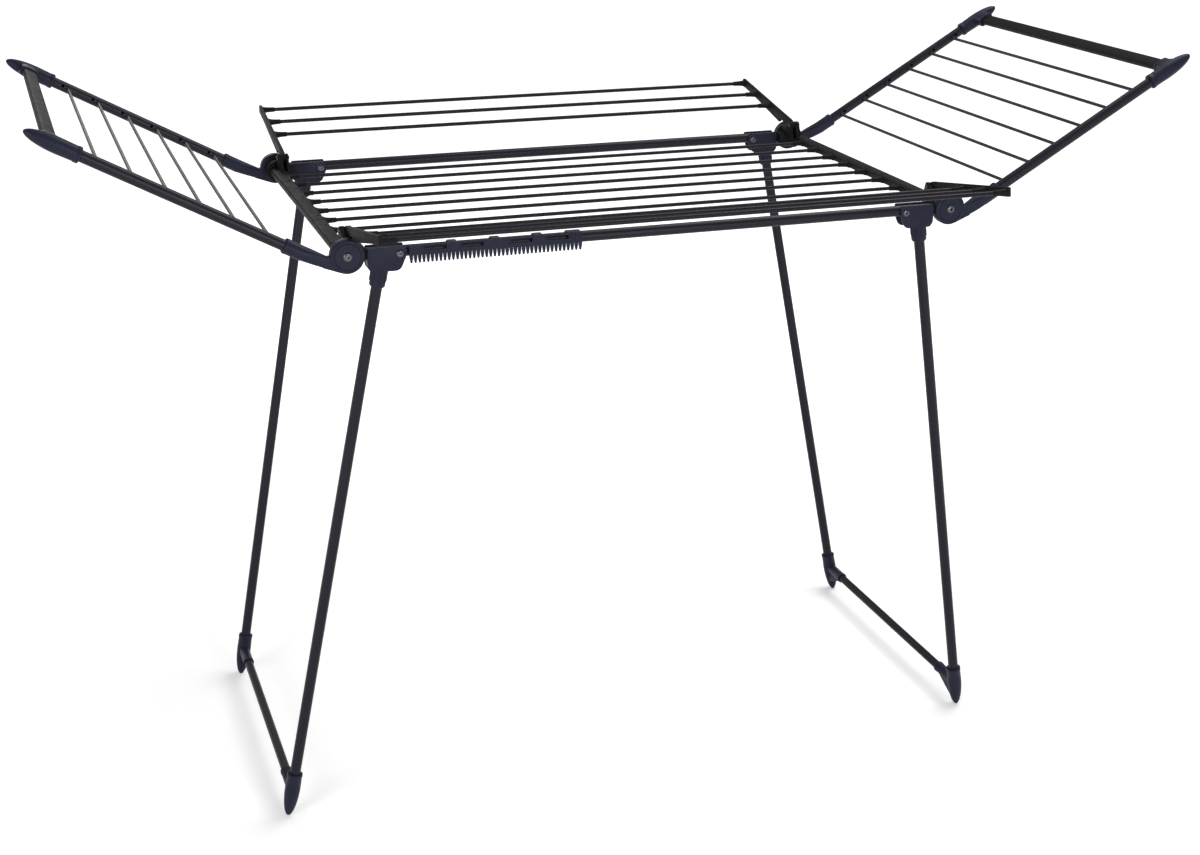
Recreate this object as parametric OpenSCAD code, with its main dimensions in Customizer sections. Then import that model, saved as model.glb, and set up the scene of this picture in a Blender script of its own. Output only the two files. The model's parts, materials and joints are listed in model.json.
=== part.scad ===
// Folding clothes drying rack: a flat top frame on two splayed leg frames, two
// raised wings hinged at its ends and two narrow flaps hinged along its sides.
// X runs along the rack, Y across it and Z up. The origin is the centre of the
// footprint, on the floor. All sizes are in millimetres and degrees.

/* [Top frame] */
// Half distance between the two wing hinges
hinge_x = 458; // [440:1:480]
// Height of the wing hinges and of the long rails
hinge_z = 886; // [860:1:910]
// Half distance between the two long rails
rail_y = 286; // [276:1:296]
// Outer diameter of every round frame tube
tube_d = 16; // [15:0.5:17]
// Wall thickness of every steel tube
tube_wall = 0.8; // [0.6:0.1:1.2]
// Diameter of the drying rods of the top frame
main_rod_d = 5; // [4:0.5:6]
// Distance between neighbouring rods of the top frame
main_rod_pitch = 60.3; // [58:0.1:62]
// Width of the flat end bars of the top frame
crossbar_w = 21; // [18:1:22]
// Height of the flat end bars of the top frame
crossbar_h = 12; // [10:1:12]

/* [Wings] */
// Angle of the open left wing above the horizontal
left_wing_angle = 28.5; // [25:0.5:35]
// Angle of the open right wing above the horizontal
right_wing_angle = 30.5; // [25:0.5:35]
// Distance from the wing hinge to the tip of its end caps
wing_reach = 448; // [430:1:460]
// Half distance between the side tubes of a wing
wing_tube_y = 288; // [287:0.5:289]
// Distance of the wing tubes below the hinge, square to the wing
wing_drop = 22; // [21.5:0.5:23]
// Radius of the round hinge knuckle of a wing arm
knuckle_r = 24; // [23:0.5:24]
// Thickness of the hinge knuckle
knuckle_t = 14; // [12:0.5:15]
// Outer radius of the sleeves that hold a tube end
sleeve_r = 10.6; // [10:0.1:11]
// Diameter of the wing rods
wing_rod_d = 4.5; // [4:0.5:5]
// Distance from the hinge to the first wing rod
wing_rod_first = 101.5; // [100:0.5:106]
// Distance between neighbouring wing rods
wing_rod_pitch = 49.3; // [46:0.1:49.4]
// Width of the flat end bar of a wing
end_bar_w = 20; // [18:1:21]
// Thickness of the flat end bar of a wing
end_bar_t = 10; // [8:1:11]

/* [Flaps] */
// Angle of an open flap above the horizontal
flap_angle = 10; // [9:0.5:13]
// Half distance between the two flap hinges
flap_y = 250; // [248:1:251]
// Height of the flap hinges above the wing hinges
flap_rise = 25; // [24.5:0.5:26]
// Thickness of a flap arm, along the rack
flap_arm_t = 10; // [8:0.5:11]
// Depth of a flap arm
flap_arm_h = 10.5; // [9:0.5:11]
// Diameter of the flap rods
flap_rod_d = 5.5; // [5:0.5:6]
// Distance from the flap hinge to the first flap rod
flap_rod_first = 102; // [98:1:106]
// Distance between neighbouring flap rods
flap_rod_pitch = 59; // [56:1:60]

/* [Legs] */
// Lean of the leg frames away from the upright
leg_splay = 10.8; // [9:0.1:12]
// Distance from the wing hinge inwards to the leg hinge
leg_inset = 73; // [73:1:80]
// Distance from the leg hinge outwards to the leg tube
leg_offset = 22.4; // [21:0.2:23]
// Half distance between the two feet of a leg frame
foot_y = 242; // [236:1:256]
// Diameter of the bar between the feet
foot_bar_d = 14; // [12:0.5:15]
// Height of the bar between the feet
foot_bar_z = 45; // [40:1:52]
// Radius of a foot at its collar
foot_r = 11.8; // [11.5:0.1:12.5]

/* [Sock comb] */
// Length of the comb for small items
comb_l = 249; // [230:1:260]
// Distance between neighbouring comb teeth
comb_pitch = 5.9; // [5.7:0.1:6.2]
// Thickness of the comb
comb_t = 3; // [2.5:0.1:3.2]

/* [Fasteners] */
// Shank diameter of the wing hinge rivets
wing_pin_d = 6; // [5:0.5:6.5]
// Shank diameter of the leg hinge rivets
leg_pin_d = 5; // [4:0.5:5.5]
// Shank diameter of the flap hinge rivets
flap_pin_d = 4; // [3:0.5:4.5]
// Head diameter of the wing hinge rivets
wing_head_d = 13; // [11:0.5:14]
// Head diameter of the leg hinge rivets
leg_head_d = 11; // [9:0.5:12]

/* [Fits] */
// Radial clearance of fixed seats and of the hinge pins
fit = 0.05; // [0.03:0.01:0.08]
// Clearance between flat faces that move past each other
run = 0.3; // [0.2:0.05:0.4]

/* [Hidden] */
$fn = 48;

steel = "#26242c";
plastic = "#2b2e3f";
grey = "#373938";
zinc = "#b9bcc0";

eps = 0.01;
collar = 0.6;                                // how far the collar of a mouth stands out
tube_r = tube_d / 2;
bore_r = tube_r + fit;                       // seat around a tube end
plug_r = tube_r - tube_wall - fit;           // plug inside a tube end
main_rod_count = 8;
wing_rod_count = 6;
flap_rod_count = 3;

// Wing knuckles lie just outboard of the rail centre, clear of the corner blocks.
knuckle_y = rail_y - 0.8;
block_y1 = knuckle_y - run;
rail_end = hinge_x - knuckle_r - 3.5;
knuckle_chamfer = 1.5;

// Corner blocks, right rear quadrant.
block_x0 = rail_end + 1;
block_x1 = hinge_x + 14;
block_y0 = 238;
block_z0 = hinge_z - 9;
block_z1 = hinge_z + 10;
ear_r = 14;
ear_y0 = 262;

// Flat end bars of the top frame, and the rods that they carry.
crossbar_x = hinge_x + 2;
crossbar_z = hinge_z + 1;
crossbar_y = block_y0 - 0.1;
tongue_w = crossbar_w - 6;
tongue_h = crossbar_h - 5;
tongue_l = 16;
socket_l = 17;
main_socket_r = crossbar_h / 2 - 0.4;
main_rod_end = crossbar_x - crossbar_w / 2 + 5;

// Flap hinges. The arm turns between two cheeks of the corner block.
flap_z = hinge_z + flap_rise;
flap_arm_x = hinge_x - 6.5;
flap_eye_r = flap_arm_h / 2 + 0.5;
cheek_t = 5.2;
cheek_r = 8;
flap_socket_l = 20;
flap_socket_r = 6.2;
flap_reach = flap_rod_first + (flap_rod_count - 1) * flap_rod_pitch;
flap_in = flap_arm_x - flap_arm_t / 2;
flap_out = flap_arm_x + flap_arm_t / 2;

// Legs. Distances along a leg start level with its hinge.
leg_pivot_x = hinge_x - leg_inset;
leg_pivot_z = hinge_z - 1;
leg_top_x = leg_pivot_x + leg_offset * cos(leg_splay);
leg_top_z = leg_pivot_z + leg_offset * sin(leg_splay);
leg_start = 22;
leg_socket_end = 52;
bracket_t = 3.3;
bracket_in = rail_y - tube_r - run;
bracket_out = rail_y + tube_r + run;
bracket_socket_r = 11.5;

// Feet: an elliptical nose whose lowest point is ground flat on the floor.
foot_nose = 50;
foot_flat = 1;
foot_sleeve = 25;
leg_seat = 40;
foot_branch_l = 54;
foot_branch_r = foot_bar_d / 2 + 2.2;
leg_lean_y = atan((rail_y - foot_y) / (leg_top_z / cos(leg_splay) - leg_start));
foot_drop = norm([foot_nose * cos(leg_splay) * cos(leg_lean_y), foot_r * sin(leg_splay)])
    - foot_flat;
foot_s = (leg_top_z - foot_drop) / cos(leg_splay) - leg_start;
foot_axis_s = foot_s / cos(leg_lean_y);
leg_l = foot_axis_s - foot_sleeve + leg_seat;

// Wings, in the wing's own frame: X outward, Z square to the wing.
arm_bore_s = 48;
arm_sleeve_end = 84;
arm_neck_start = 30;
arm_neck_end = 58;
cap_r = 11.4;
cap_nose = 46;
cap_start = wing_reach - 76;
cap_bore = 25;
end_bar_s = wing_reach - 36;
end_bar_y = wing_tube_y - 10;
wing_rod_y = wing_tube_y - 4;
dimple_r = 2.2;
dimple_shift = 9;

// Comb
comb_y = bracket_out + bracket_t + run + 0.3;
comb_x0 = -leg_pivot_x + 12;
comb_z1 = hinge_z + 10;
comb_z0 = hinge_z - 2;
tooth_l = 13;
tooth_w = 2.6;
comb_slot_l = 32;
comb_slot_h = 6;
comb_slot_z = hinge_z + 4.8;
comb_slot_pitch = 53;
comb_pair_gap = 70.5;
comb_rim_w = 1.6;
comb_rim_h = 0.8;

// ---------------------------------------------------------------- helpers

// Mirrors a piece that is drawn in the right rear quadrant to the quadrant (sx, sy).
module quadrant(sx, sy) {
    mirror([sx < 0 ? 1 : 0, 0, 0]) mirror([0, sy < 0 ? 1 : 0, 0]) children();
}

// Turns a shape whose axis is Z so that its axis is +X, or +Y.
module along_x() { rotate([0, 90, 0]) children(); }
module along_y() { rotate([-90, 0, 0]) children(); }

// Extrudes an outline drawn in (x, z) along Y, from y0 to y1.
module slab_y(y0, y1) {
    translate([0, y1, 0]) rotate([90, 0, 0]) linear_extrude(y1 - y0) children();
}

// Extrudes an outline drawn in (y, z) along X, from x0 to x1.
module slab_x(x0, x1) {
    translate([x0, 0, 0]) rotate([90, 0, 90]) linear_extrude(x1 - x0) children();
}

function unit(v) = v / norm(v);

// Points of an outline with each corner rounded to radius r by an arc of n steps.
function rounded(pts, r, n = 4) = [
    for (i = [0 : len(pts) - 1])
        let (p = pts[i],
             a = unit(pts[(i + len(pts) - 1) % len(pts)] - p),
             b = unit(pts[(i + 1) % len(pts)] - p),
             half = acos(a * b) / 2,
             c = p + unit(a + b) * r / sin(half),
             pa = p + a * r / tan(half) - c,
             pb = p + b * r / tan(half) - c)
            for (k = [0 : n])
                let (t = k / n,
                     w = 180 - 2 * half)
                    c + (pa * sin((1 - t) * w) + pb * sin(t * w)) / sin(w)
];

// A rectangle centred on the origin, with rounded corners.
module round_rect(w, h, r) {
    polygon(rounded([[-w / 2, -h / 2], [w / 2, -h / 2], [w / 2, h / 2], [-w / 2, h / 2]], r));
}

// A round steel tube of length l, from the origin along Z.
module tube(l) {
    difference() {
        cylinder(r = tube_r, h = l);
        translate([0, 0, -eps]) cylinder(r = tube_r - tube_wall, h = l + 2 * eps);
    }
}

// A hollow rivet: shank from 0 to l along Z, a formed tail below it and a head of
// diameter head_d above it. Both ends are domed round the hollow of the rivet.
module rivet(d, l, head_d, tail_d, h) {
    hollow = d / 2 - 0.8;
    rotate_extrude()
        polygon(concat(
            [[0, 1], [hollow, 1], [hollow, -h + 0.4]],
            [for (a = [30 : 20 : 90]) [tail_d / 2 * sin(a), -h * cos(a)]],
            [[d / 2, 0], [d / 2, l]],
            [for (a = [90 : -20 : 30]) [head_d / 2 * sin(a), l + h * cos(a)]],
            [[hollow, l + h - 0.4], [hollow, l - 1], [0, l - 1]]));
}

// A flared rod socket from r1 at its thin end (z = 0) to r2 at its root (z = l).
module trumpet(r1, r2, l) {
    steps = 6;
    rotate_extrude()
        polygon(concat(
            [[0, 0]],
            [for (k = [0 : steps])
                [r1 + (r2 - r1) * (1 - cos(90 * k / steps)), l * sin(90 * k / steps)]],
            [[r2, l + 1], [0, l + 1]]));
}

// ---------------------------------------------------------------- top frame

module rail(sy) {
    color(steel) translate([0, sy * rail_y, hinge_z]) difference() {
        translate([-rail_end, 0, 0]) along_x() tube(2 * rail_end);
        for (sx = [-1, 1])
            translate([sx * leg_pivot_x, -tube_d, leg_pivot_z - hinge_z])
                along_y() cylinder(r = leg_pin_d / 2 + fit, h = 2 * tube_d);
    }
}

module front_rail() { rail(-1); }
module rear_rail() { rail(1); }

function main_rod_ys() = [
    for (i = [0 : main_rod_count - 1]) (i - (main_rod_count - 1) / 2) * main_rod_pitch
];

module main_rods() {
    color(steel) for (y = main_rod_ys())
        translate([-main_rod_end, y, crossbar_z])
            along_x() cylinder(d = main_rod_d, h = 2 * main_rod_end, $fn = 32);
}

// The right end bar: a flat moulding with a flared socket for every rod.
module crossbar() {
    inner = crossbar_x - crossbar_w / 2;
    color(grey) difference() {
        union() {
            translate([crossbar_x, 0, crossbar_z]) {
                slab_y(-crossbar_y, crossbar_y) round_rect(crossbar_w, crossbar_h, 3.5);
                slab_y(-crossbar_y - tongue_l, crossbar_y + tongue_l)
                    round_rect(tongue_w, tongue_h, 2);
            }
            for (y = main_rod_ys())
                translate([inner - socket_l, y, crossbar_z])
                    along_x() trumpet(main_rod_d / 2 + 0.9, main_socket_r, socket_l);
        }
        for (y = main_rod_ys()) {
            translate([inner - socket_l - 1, y, crossbar_z])
                along_x() cylinder(r = main_rod_d / 2 + fit, h = socket_l + 7);
            translate([crossbar_x - 3, y + 11, crossbar_z + crossbar_h / 2 - 2])
                cylinder(r = dimple_r, h = 4, $fn = 24);
        }
    }
}

module left_crossbar() { quadrant(-1, 1) crossbar(); }
module right_crossbar() { crossbar(); }

// Height of the underside of an open flap arm above the point y of the block.
function flap_underside(y) =
    flap_z + (y - flap_y) * tan(flap_angle) - flap_arm_h / 2 / cos(flap_angle);

// One corner block: it plugs into the rail, takes the end of the flat bar and
// carries the wing hinge on its ear and the flap hinge between its cheeks.
module corner_block() {
    saddle_y = flap_y + 12;
    cheek_in = flap_in - run - cheek_t;
    cheek_out = flap_out + run;
    color(plastic) difference() {
        union() {
            translate([0, 0, block_z0]) linear_extrude(block_z1 - block_z0)
                polygon(rounded([[block_x0, block_y0], [block_x1, block_y0],
                                 [block_x1, block_y1], [block_x0, block_y1]], 3));
            translate([hinge_x, ear_y0, hinge_z]) along_y()
                cylinder(r = ear_r, h = block_y1 - ear_y0);
            translate([rail_end, rail_y, hinge_z]) along_x()
                cylinder(r = tube_r, h = 2.7);
            translate([leg_pivot_x - 12, rail_y, hinge_z]) along_x()
                cylinder(r = plug_r, h = rail_end - leg_pivot_x + 13);
            for (x = [cheek_in, cheek_out]) slab_x(x, x + cheek_t) cheek_outline();
            slab_x(cheek_in, cheek_out + cheek_t)
                polygon([[saddle_y, block_z1 - 4], [block_y1, block_z1 - 4],
                         [block_y1, flap_underside(block_y1) - run],
                         [saddle_y, flap_underside(saddle_y) - run]]);
        }
        slab_y(block_y0 - 1, block_y0 + tongue_l + 0.5)
            translate([crossbar_x, crossbar_z])
                round_rect(tongue_w + 2 * fit, tongue_h + 2 * fit, 2 + fit);
        translate([hinge_x, ear_y0 - 1, hinge_z]) along_y()
            cylinder(r = wing_pin_d / 2 + fit, h = 40);
        translate([hinge_x, block_y0 + tongue_l + 1, hinge_z]) along_y()
            cylinder(r = 5.2, h = ear_y0 - block_y0 - tongue_l - 1);
        translate([leg_pivot_x, rail_y - tube_d, leg_pivot_z]) along_y()
            cylinder(r = leg_pin_d / 2 + fit, h = 2 * tube_d);
        translate([cheek_in - 1, flap_y, flap_z]) along_x()
            cylinder(r = flap_pin_d / 2 + fit, h = 40, $fn = 32);
    }
}

module cheek_outline() {
    translate([flap_y, flap_z]) circle(r = cheek_r);
    polygon([[flap_y - cheek_r, flap_z], [flap_y - cheek_r - 3, block_z1 - 4],
             [flap_y + 14, block_z1 - 4], [flap_y + 14, flap_z - 5],
             [flap_y + cheek_r, flap_z]]);
}

module front_left_corner() { quadrant(-1, -1) corner_block(); }
module front_right_corner() { quadrant(1, -1) corner_block(); }
module rear_left_corner() { quadrant(-1, 1) corner_block(); }
module rear_right_corner() { quadrant(1, 1) corner_block(); }

module each_corner() {
    for (sx = [-1, 1], sy = [-1, 1]) quadrant(sx, sy) children();
}

module wing_pins() {
    color(zinc) each_corner()
        translate([hinge_x, ear_y0 - 0.05, hinge_z]) along_y()
            rivet(wing_pin_d, knuckle_y + knuckle_t - ear_y0 + run, wing_head_d, 9.6, 2.6);
}

module leg_pins() {
    color(zinc) each_corner()
        translate([leg_pivot_x, bracket_in - bracket_t - run, leg_pivot_z]) along_y()
            rivet(leg_pin_d, bracket_out - bracket_in + 2 * (bracket_t + run),
                  leg_head_d, leg_head_d, 2.2);
}

module flap_pins() {
    color(zinc) each_corner()
        translate([flap_in - run - cheek_t - 0.05, flap_y, flap_z]) along_x()
            rivet(flap_pin_d, flap_arm_t + 2 * (run + cheek_t) + 0.1, 7, 7, 1.6);
}

// ---------------------------------------------------------------- wings

// Places a piece that is drawn in the frame of a wing, on the right of the rack.
module wing_frame(angle) {
    translate([hinge_x, 0, hinge_z]) rotate([0, -angle, 0]) children();
}

function wing_rod_ss() = [
    for (i = [0 : wing_rod_count - 1]) wing_rod_first + i * wing_rod_pitch
];

module wing_tube(angle) {
    color(steel) wing_frame(angle) translate([0, wing_tube_y, -wing_drop]) difference() {
        translate([arm_bore_s + 0.1, 0, 0]) along_x()
            tube(cap_start + cap_bore - arm_bore_s - 0.2);
        for (s = wing_rod_ss()) {
            translate([s, -tube_d, 0]) along_y()
                cylinder(r = wing_rod_d / 2 + fit, h = tube_d, $fn = 32);
            translate([s + dimple_shift, -tube_d, 1.5]) along_y()
                cylinder(r = dimple_r, h = tube_d, $fn = 24);
        }
    }
}

module wing_rods(angle) {
    color(steel) wing_frame(angle) for (s = wing_rod_ss())
        translate([s, -wing_rod_y, -wing_drop]) along_y()
            cylinder(d = wing_rod_d, h = 2 * wing_rod_y, $fn = 32);
}

module wing_end_bar(angle) {
    color(grey) wing_frame(angle) translate([end_bar_s, 0, -wing_drop])
        slab_y(-end_bar_y, end_bar_y) round_rect(end_bar_w, end_bar_t, 3.5);
}

// The neck of a wing arm: a strap that leaves the knuckle along its lower tangent
// and is turned down to the round of the sleeve.
module arm_neck() {
    grow = sleeve_r + 0.5;
    end = [arm_neck_end, -wing_drop - grow];
    tilt = atan2(end[1], end[0]) - acos(knuckle_r / norm(end));
    y1 = knuckle_y + knuckle_t - knuckle_chamfer;
    intersection() {
        slab_y(wing_tube_y - 2 * sleeve_r, wing_tube_y + 2 * sleeve_r)
            polygon([[0, 0], knuckle_r * [cos(tilt), sin(tilt)], end,
                     [arm_neck_end, grow - wing_drop], [0, sleeve_r - wing_drop]]);
        translate([0, 0, -60]) linear_extrude(70)
            polygon([[-10, knuckle_y], [arm_neck_start, knuckle_y],
                     [arm_neck_end, wing_tube_y - grow], [arm_neck_end, wing_tube_y + grow],
                     [arm_neck_start, y1], [-10, y1]]);
        translate([0, wing_tube_y, -wing_drop]) along_x() rotate_extrude()
            polygon([[0, -20], [2.2 * sleeve_r, -20], [2.2 * sleeve_r, 0],
                     [1.5 * sleeve_r, arm_neck_start - 4],
                     [sleeve_r - 0.05, arm_neck_end], [0, arm_neck_end]]);
    }
}

module wing_arm(angle) {
    y1 = knuckle_y + knuckle_t;
    color(plastic) wing_frame(angle) difference() {
        union() {
            translate([0, knuckle_y, 0]) along_y()
                cylinder(r = knuckle_r, h = knuckle_t - knuckle_chamfer, $fn = 64);
            translate([0, y1 - knuckle_chamfer, 0]) along_y()
                cylinder(r1 = knuckle_r, r2 = knuckle_r - knuckle_chamfer,
                         h = knuckle_chamfer, $fn = 64);
            arm_neck();
            translate([arm_neck_end - 2, wing_tube_y, -wing_drop]) along_x()
                cylinder(r = sleeve_r, h = arm_sleeve_end - arm_neck_end - 3);
            translate([arm_sleeve_end - 6, wing_tube_y, -wing_drop]) along_x()
                cylinder(r = sleeve_r + collar, h = 5);
            translate([arm_sleeve_end - 1, wing_tube_y, -wing_drop]) along_x()
                cylinder(r1 = sleeve_r + collar, r2 = sleeve_r - 0.4, h = 1);
        }
        translate([arm_bore_s, wing_tube_y, -wing_drop]) along_x()
            cylinder(r = bore_r, h = 60);
        translate([0, knuckle_y - 1, 0]) along_y()
            cylinder(r = wing_pin_d / 2 + fit, h = knuckle_t + 2);
    }
}

// The torpedo cap on the free end of a wing tube, with the socket of the end bar.
module wing_cap(angle) {
    nose_s = wing_reach - cap_nose;
    steps = 10;
    color(plastic) wing_frame(angle) translate([0, wing_tube_y, -wing_drop]) difference() {
        union() {
            along_x() rotate_extrude()
                polygon(concat(
                    [[0, cap_start], [cap_r - 0.4, cap_start],
                     [cap_r + collar, cap_start + 1], [cap_r + collar, cap_start + 6],
                     [cap_r, cap_start + 7]],
                    [for (k = [0 : steps])
                        [cap_r * cos(90 * k / steps), nose_s + cap_nose * sin(90 * k / steps)]]));
            translate([end_bar_s, 0, 0]) slab_y(-cap_r - 10, 0)
                round_rect(end_bar_w + 5, end_bar_t + 5, 4.5);
            translate([0, 0, -4]) linear_extrude(8)
                polygon([[end_bar_s - end_bar_w / 2 - 2, -cap_r - 8],
                         [end_bar_s + end_bar_w / 2 + 2, -cap_r - 8],
                         [end_bar_s + end_bar_w / 2 + 7, -6],
                         [cap_start + 8, -6]]);
        }
        translate([cap_start - 1, 0, 0]) along_x() cylinder(r = bore_r, h = cap_bore + 1);
        translate([end_bar_s, 0, 0]) slab_y(-cap_r - 12, end_bar_y - wing_tube_y + 0.1)
            round_rect(end_bar_w + 2 * fit, end_bar_t + 2 * fit, 3.5 + fit);
    }
}

module left_wing_front_tube() { quadrant(-1, -1) wing_tube(left_wing_angle); }
module left_wing_rear_tube() { quadrant(-1, 1) wing_tube(left_wing_angle); }
module left_wing_end_bar() { quadrant(-1, 1) wing_end_bar(left_wing_angle); }
module left_wing_rods() { quadrant(-1, 1) wing_rods(left_wing_angle); }
module left_wing_front_cap() { quadrant(-1, -1) wing_cap(left_wing_angle); }
module left_wing_rear_cap() { quadrant(-1, 1) wing_cap(left_wing_angle); }
module left_wing_front_arm() { quadrant(-1, -1) wing_arm(left_wing_angle); }
module left_wing_rear_arm() { quadrant(-1, 1) wing_arm(left_wing_angle); }
module right_wing_front_tube() { quadrant(1, -1) wing_tube(right_wing_angle); }
module right_wing_rear_tube() { quadrant(1, 1) wing_tube(right_wing_angle); }
module right_wing_end_bar() { quadrant(1, 1) wing_end_bar(right_wing_angle); }
module right_wing_rods() { quadrant(1, 1) wing_rods(right_wing_angle); }
module right_wing_front_cap() { quadrant(1, -1) wing_cap(right_wing_angle); }
module right_wing_rear_cap() { quadrant(1, 1) wing_cap(right_wing_angle); }
module right_wing_front_arm() { quadrant(1, -1) wing_arm(right_wing_angle); }
module right_wing_rear_arm() { quadrant(1, 1) wing_arm(right_wing_angle); }

// ---------------------------------------------------------------- flaps

// Places a piece that is drawn in the frame of the rear flap: Y outward.
module flap_frame() {
    translate([0, flap_y, flap_z]) rotate([flap_angle, 0, 0]) children();
}

function flap_rod_ds() = [
    for (i = [0 : flap_rod_count - 1]) flap_rod_first + i * flap_rod_pitch
];

module flap_rods() {
    color(steel) flap_frame() for (d = flap_rod_ds())
        translate([-flap_in, d, 0]) along_x()
            cylinder(d = flap_rod_d, h = 2 * flap_in, $fn = 32);
}

// The right arm of the rear flap: a slim bar with a flared socket for each rod.
module flap_arm() {
    seat = 4;
    color(grey) flap_frame() difference() {
        union() {
            slab_x(flap_in, flap_out) {
                circle(r = flap_eye_r);
                translate([0, -flap_arm_h / 2]) square([flap_reach + 6, flap_arm_h]);
            }
            for (d = flap_rod_ds())
                translate([flap_in - flap_socket_l, d, 0]) along_x()
                    trumpet(flap_rod_d / 2 + 0.9, flap_socket_r, flap_socket_l);
        }
        for (d = flap_rod_ds())
            translate([flap_in - flap_socket_l - 1, d, 0]) along_x()
                cylinder(r = flap_rod_d / 2 + fit, h = flap_socket_l + 1 + seat);
        translate([flap_in - 1, 0, 0]) along_x()
            cylinder(r = flap_pin_d / 2 + fit, h = flap_arm_t + 2, $fn = 32);
    }
}

module front_flap_rods() { quadrant(1, -1) flap_rods(); }
module front_flap_left_arm() { quadrant(-1, -1) flap_arm(); }
module front_flap_right_arm() { quadrant(1, -1) flap_arm(); }
module rear_flap_rods() { flap_rods(); }
module rear_flap_left_arm() { quadrant(-1, 1) flap_arm(); }
module rear_flap_right_arm() { quadrant(1, 1) flap_arm(); }

// ---------------------------------------------------------------- legs

// Places a piece that is drawn in the frame of the right rear leg: Z runs down
// the leg from the top of its tube, X points inwards and Y to the rear.
module leg_frame() {
    translate([leg_top_x + leg_start * sin(leg_splay), rail_y,
               leg_top_z - leg_start * cos(leg_splay)])
        rotate([leg_lean_y, 180 - leg_splay, 0]) children();
}

module leg_tube() {
    color(steel) leg_frame() tube(leg_l);
}

module foot_bar() {
    s = (leg_top_z - foot_bar_z) / cos(leg_splay);
    x = leg_top_x + s * sin(leg_splay);
    l = foot_y - 12;
    color(steel) translate([x, -l, foot_bar_z]) along_y() difference() {
        cylinder(d = foot_bar_d, h = 2 * l);
        translate([0, 0, -1]) cylinder(d = foot_bar_d - 2 * tube_wall, h = 2 * l + 2);
    }
}

// The right rear foot: a torpedo sleeve with a side socket for the foot bar.
module foot() {
    s = (leg_top_z - foot_bar_z) / cos(leg_splay);
    bar_x = leg_top_x + s * sin(leg_splay);
    steps = 12;
    color(plastic) difference() {
        union() {
            leg_frame() translate([0, 0, foot_axis_s]) rotate_extrude()
                polygon(concat(
                    [[0, -foot_sleeve], [foot_r - 0.4, -foot_sleeve],
                     [foot_r + collar, -foot_sleeve + 1], [foot_r + collar, -foot_sleeve + 6],
                     [foot_r, -foot_sleeve + 7]],
                    [for (k = [0 : steps])
                        [foot_r * cos(90 * k / steps), foot_nose * sin(90 * k / steps)]]));
            translate([bar_x, foot_y - foot_branch_l + 2, foot_bar_z]) along_y()
                cylinder(r = foot_branch_r, h = foot_branch_l);
            translate([bar_x, foot_y - foot_branch_l, foot_bar_z]) along_y()
                cylinder(r1 = foot_branch_r - 0.4, r2 = foot_branch_r + collar, h = 1);
            translate([bar_x, foot_y - foot_branch_l + 1, foot_bar_z]) along_y()
                cylinder(r = foot_branch_r + collar, h = 5);
            translate([bar_x - 3.5, 0, 0]) slab_x(0, 7)
                polygon([[foot_y - foot_branch_l + 3, foot_bar_z - foot_branch_r + 2],
                         [foot_y - foot_branch_l + 3, foot_bar_z],
                         [foot_y, foot_bar_z], [foot_y, foot_bar_z - 30]]);
        }
        leg_frame() cylinder(r = bore_r, h = leg_l + 0.1);
        translate([bar_x, foot_y - foot_branch_l - 1, foot_bar_z]) along_y()
            cylinder(r = foot_bar_d / 2 + fit, h = foot_branch_l - 11 + 0.1);
        translate([0, 0, -50]) cube([1400, 700, 100], center = true);
    }
}

// The leg bracket: two cheeks astride the rail, joined below it, and the socket
// of the leg tube. The web below the rail is the stop of the open leg.
module leg_bracket() {
    outline = rounded([[-8.5, 10], [45, 10], [46, -10], [45.5, -18], [41, -24],
                       [4, -24], [-1.5, -20.5], [-8.5, -5]], 1.5);
    web = [[13, -7.6], [45, -7.6], [45, -17.5], [41, -23], [13, -23]];
    color(plastic) difference() {
        union() {
            translate([leg_pivot_x, 0, leg_pivot_z]) {
                slab_y(bracket_in - bracket_t, bracket_in) polygon(outline);
                slab_y(bracket_out, bracket_out + bracket_t) polygon(outline);
                slab_y(bracket_in - eps, bracket_out + eps) polygon(web);
            }
            leg_frame() {
                cylinder(r = bracket_socket_r, h = leg_socket_end - leg_start - 3);
                translate([0, 0, leg_socket_end - leg_start - 3])
                    cylinder(r1 = bracket_socket_r, r2 = bracket_socket_r - 2, h = 3);
            }
        }
        leg_frame() translate([0, 0, -0.1]) cylinder(r = bore_r, h = 60);
        translate([leg_pivot_x, bracket_in - bracket_t - 1, leg_pivot_z]) along_y()
            cylinder(r = leg_pin_d / 2 + fit, h = 40);
    }
}

module left_front_leg() { quadrant(-1, -1) leg_tube(); }
module left_rear_leg() { quadrant(-1, 1) leg_tube(); }
module left_foot_bar() { quadrant(-1, 1) foot_bar(); }
module left_front_foot() { quadrant(-1, -1) foot(); }
module left_rear_foot() { quadrant(-1, 1) foot(); }
module left_front_bracket() { quadrant(-1, -1) leg_bracket(); }
module left_rear_bracket() { quadrant(-1, 1) leg_bracket(); }
module right_front_leg() { quadrant(1, -1) leg_tube(); }
module right_rear_leg() { quadrant(1, 1) leg_tube(); }
module right_foot_bar() { quadrant(1, 1) foot_bar(); }
module right_front_foot() { quadrant(1, -1) foot(); }
module right_rear_foot() { quadrant(1, 1) foot(); }
module right_front_bracket() { quadrant(1, -1) leg_bracket(); }
module right_rear_bracket() { quadrant(1, 1) leg_bracket(); }

// ---------------------------------------------------------------- sock comb

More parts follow.
